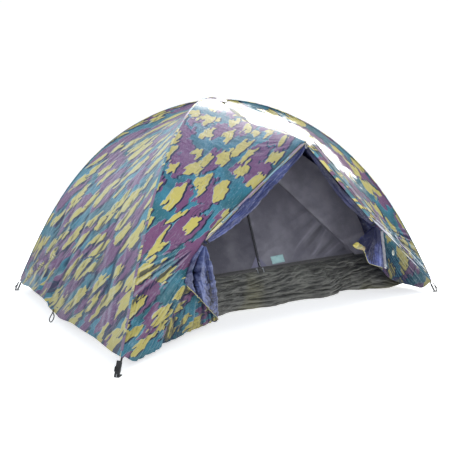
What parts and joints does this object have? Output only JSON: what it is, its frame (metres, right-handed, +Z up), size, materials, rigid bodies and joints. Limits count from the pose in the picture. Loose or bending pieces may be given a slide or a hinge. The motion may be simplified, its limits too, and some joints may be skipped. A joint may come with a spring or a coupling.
{
  "type": "military dome tent",
  "caption": "Small dome tent on crossing bent poles, with a camouflage flysheet, a porch whose door is rolled and tied open, and a zipped inner tent with a raised floor tub.",
  "frame": {"origin": "centre of the tent's footprint, on the ground under the groundsheet", "axes": "+Z up; the door faces -Y; +X is to the right for someone who faces the door"},
  "size_m": [2.2418, 1.8016, 1.269],
  "materials": {
    "camouflage_nylon": null,
    "coated_inside": "the flysheet's periwinkle-blue coated inner side",
    "inner_polyester": "thin charcoal-grey polyester",
    "groundsheet": "dark olive-grey coated cloth",
    "fibreglass": "black glass-fibre rod with bright ferrules",
    "black_plastic": "moulded",
    "webbing": "woven black webbing",
    "shock_cord": "braid-covered elastic cord",
    "zip_tape": "woven tape with a nylon coil",
    "label_cloth": "bare woven cloth patch",
    "zinc_steel": "bright plated"
  },
  "bodies": {
    "tent": {"corner_tab_back_left": "webbing", "corner_tab_back_right": "webbing", "corner_tab_front_left": "webbing", "corner_tab_front_right": "webbing", "crossing_strap": "webbing", "door_roll_left": "coated_inside", "door_roll_right": "coated_inside", "door_tie_left": "webbing", "door_tie_right": "webbing", "eyelet_back_left": "zinc_steel", "eyelet_back_right": "zinc_steel", "eyelet_front_left": "zinc_steel", "eyelet_front_right": "zinc_steel", "fly_crown_patch": "camouflage_nylon", "fly_front_left": "camouflage_nylon", "fly_front_right": "camouflage_nylon", "fly_rear": "camouflage_nylon", "fly_side_left": "camouflage_nylon", "fly_side_right": "camouflage_nylon", "groundsheet_tub": "groundsheet", "inner_crown": "inner_polyester", "inner_front_left": "inner_polyester", "inner_front_right": "inner_polyester", "inner_hook": "black_plastic", "inner_rear": "inner_polyester", "inner_side_left": "inner_polyester", "inner_side_right": "inner_polyester", "pole_one_section_1": "fibreglass", "pole_one_section_2": "fibreglass", "pole_one_section_3": "fibreglass", "pole_one_section_4": "fibreglass", "pole_tip_back_left": "black_plastic", "pole_tip_back_right": "black_plastic", "pole_tip_front_left": "black_plastic", "pole_tip_front_right": "black_plastic", "pole_two_section_1": "fibreglass", "pole_two_section_2": "fibreglass", "pole_two_section_3": "fibreglass", "pole_two_section_4": "fibreglass", "ridge_pole_cap": "black_plastic", "ridge_pole_front": "fibreglass", "ridge_pole_middle": "fibreglass", "ridge_pole_rear": "fibreglass", "storm_flap": "camouflage_nylon"},
    "left_flap": {"front_flap_left": "camouflage_nylon"},
    "right_flap": {"front_flap_right": "camouflage_nylon", "door_zip_tape": "zip_tape"},
    "door_slider": {"door_zip_slider": "zinc_steel"},
    "door_ring": {"door_zip_pull": "zinc_steel"},
    "left_inner_door": {"inner_door_left": "inner_polyester"},
    "right_inner_door": {"inner_door_right": "inner_polyester", "label_patch": "label_cloth"},
    "inner_slider": {"inner_zip_slider": "zinc_steel"},
    "inner_pull": {"inner_zip_pull": "zinc_steel"},
    "left_tub_slider": {"tub_zip_slider_left": "zinc_steel"},
    "left_tub_pull": {"tub_zip_pull_left": "zinc_steel"},
    "right_tub_slider": {"tub_zip_slider_right": "zinc_steel"},
    "right_tub_pull": {"tub_zip_pull_right": "zinc_steel"},
    "left_peg_loop": {"peg_loop_left": "shock_cord"},
    "right_peg_loop": {"peg_loop_right": "shock_cord"}
  },
  "joints": [
    {"name": "left_flap_swing", "type": "hinge", "parent": "tent", "child": "left_flap", "pos_m": [-0.625, -0.761, 0.472], "axis": [-0.7272, -0.1794, -0.6626], "range_deg": [0, 40]},
    {"name": "right_flap_swing", "type": "hinge", "parent": "tent", "child": "right_flap", "pos_m": [0.625, -0.761, 0.472], "axis": [-0.7272, 0.1794, 0.6626], "range_deg": [-10, 30]},
    {"name": "door_zip_slide", "type": "slide", "parent": "right_flap", "child": "door_slider", "axis": [-0.0747, 0.0835, 0.9937], "range_m": [0, 0.19]},
    {"name": "door_ring_swing", "type": "hinge", "parent": "door_slider", "child": "door_ring", "pos_m": [0.65642, -0.82078, 0.22], "axis": [-1, 0, 0], "range_deg": [0, 120]},
    {"name": "left_inner_door_swing", "type": "hinge", "parent": "tent", "child": "left_inner_door", "pos_m": [-0.8, -0.46, 0.232], "axis": [0.6774, 0.3013, 0.6711], "range_deg": [0, 75]},
    {"name": "right_inner_door_swing", "type": "hinge", "parent": "tent", "child": "right_inner_door", "pos_m": [0.8, -0.46, 0.232], "axis": [0.6774, -0.3013, -0.6711], "range_deg": [0, 75]},
    {"name": "inner_zip_slide", "type": "slide", "parent": "right_inner_door", "child": "inner_slider", "axis": [0.0568, 0.4089, 0.9108], "range_m": [0, 0.68]},
    {"name": "inner_pull_swing", "type": "hinge", "parent": "inner_slider", "child": "inner_pull", "pos_m": [-0.03963, -0.45428, 0.26548], "axis": [-1, 0, 0], "range_deg": [0, 140]},
    {"name": "left_tub_zip_slide", "type": "slide", "parent": "tent", "child": "left_tub_slider", "axis": [-1, 0, 0], "range_m": [0, 0.7]},
    {"name": "left_tub_pull_swing", "type": "hinge", "parent": "left_tub_slider", "child": "left_tub_pull", "pos_m": [-0.068, -0.4709, 0.22969], "axis": [-1, 0, 0], "range_deg": [0, 140]},
    {"name": "right_tub_zip_slide", "type": "slide", "parent": "tent", "child": "right_tub_slider", "axis": [1, 0, 0], "range_m": [0, 0.74]},
    {"name": "right_tub_pull_swing", "type": "hinge", "parent": "right_tub_slider", "child": "right_tub_pull", "pos_m": [-0.024, -0.4709, 0.22969], "axis": [-1, 0, 0], "range_deg": [0, 140]},
    {"name": "left_peg_loop_swing", "type": "hinge", "parent": "tent", "child": "left_peg_loop", "pos_m": [-1.1065, -0.02, 0.066], "axis": [0, 1, 0], "range_deg": [-20, 70]},
    {"name": "right_peg_loop_swing", "type": "hinge", "parent": "tent", "child": "right_peg_loop", "pos_m": [1.1065, -0.02, 0.066], "axis": [0, -1, 0], "range_deg": [-20, 70]}
  ]
}
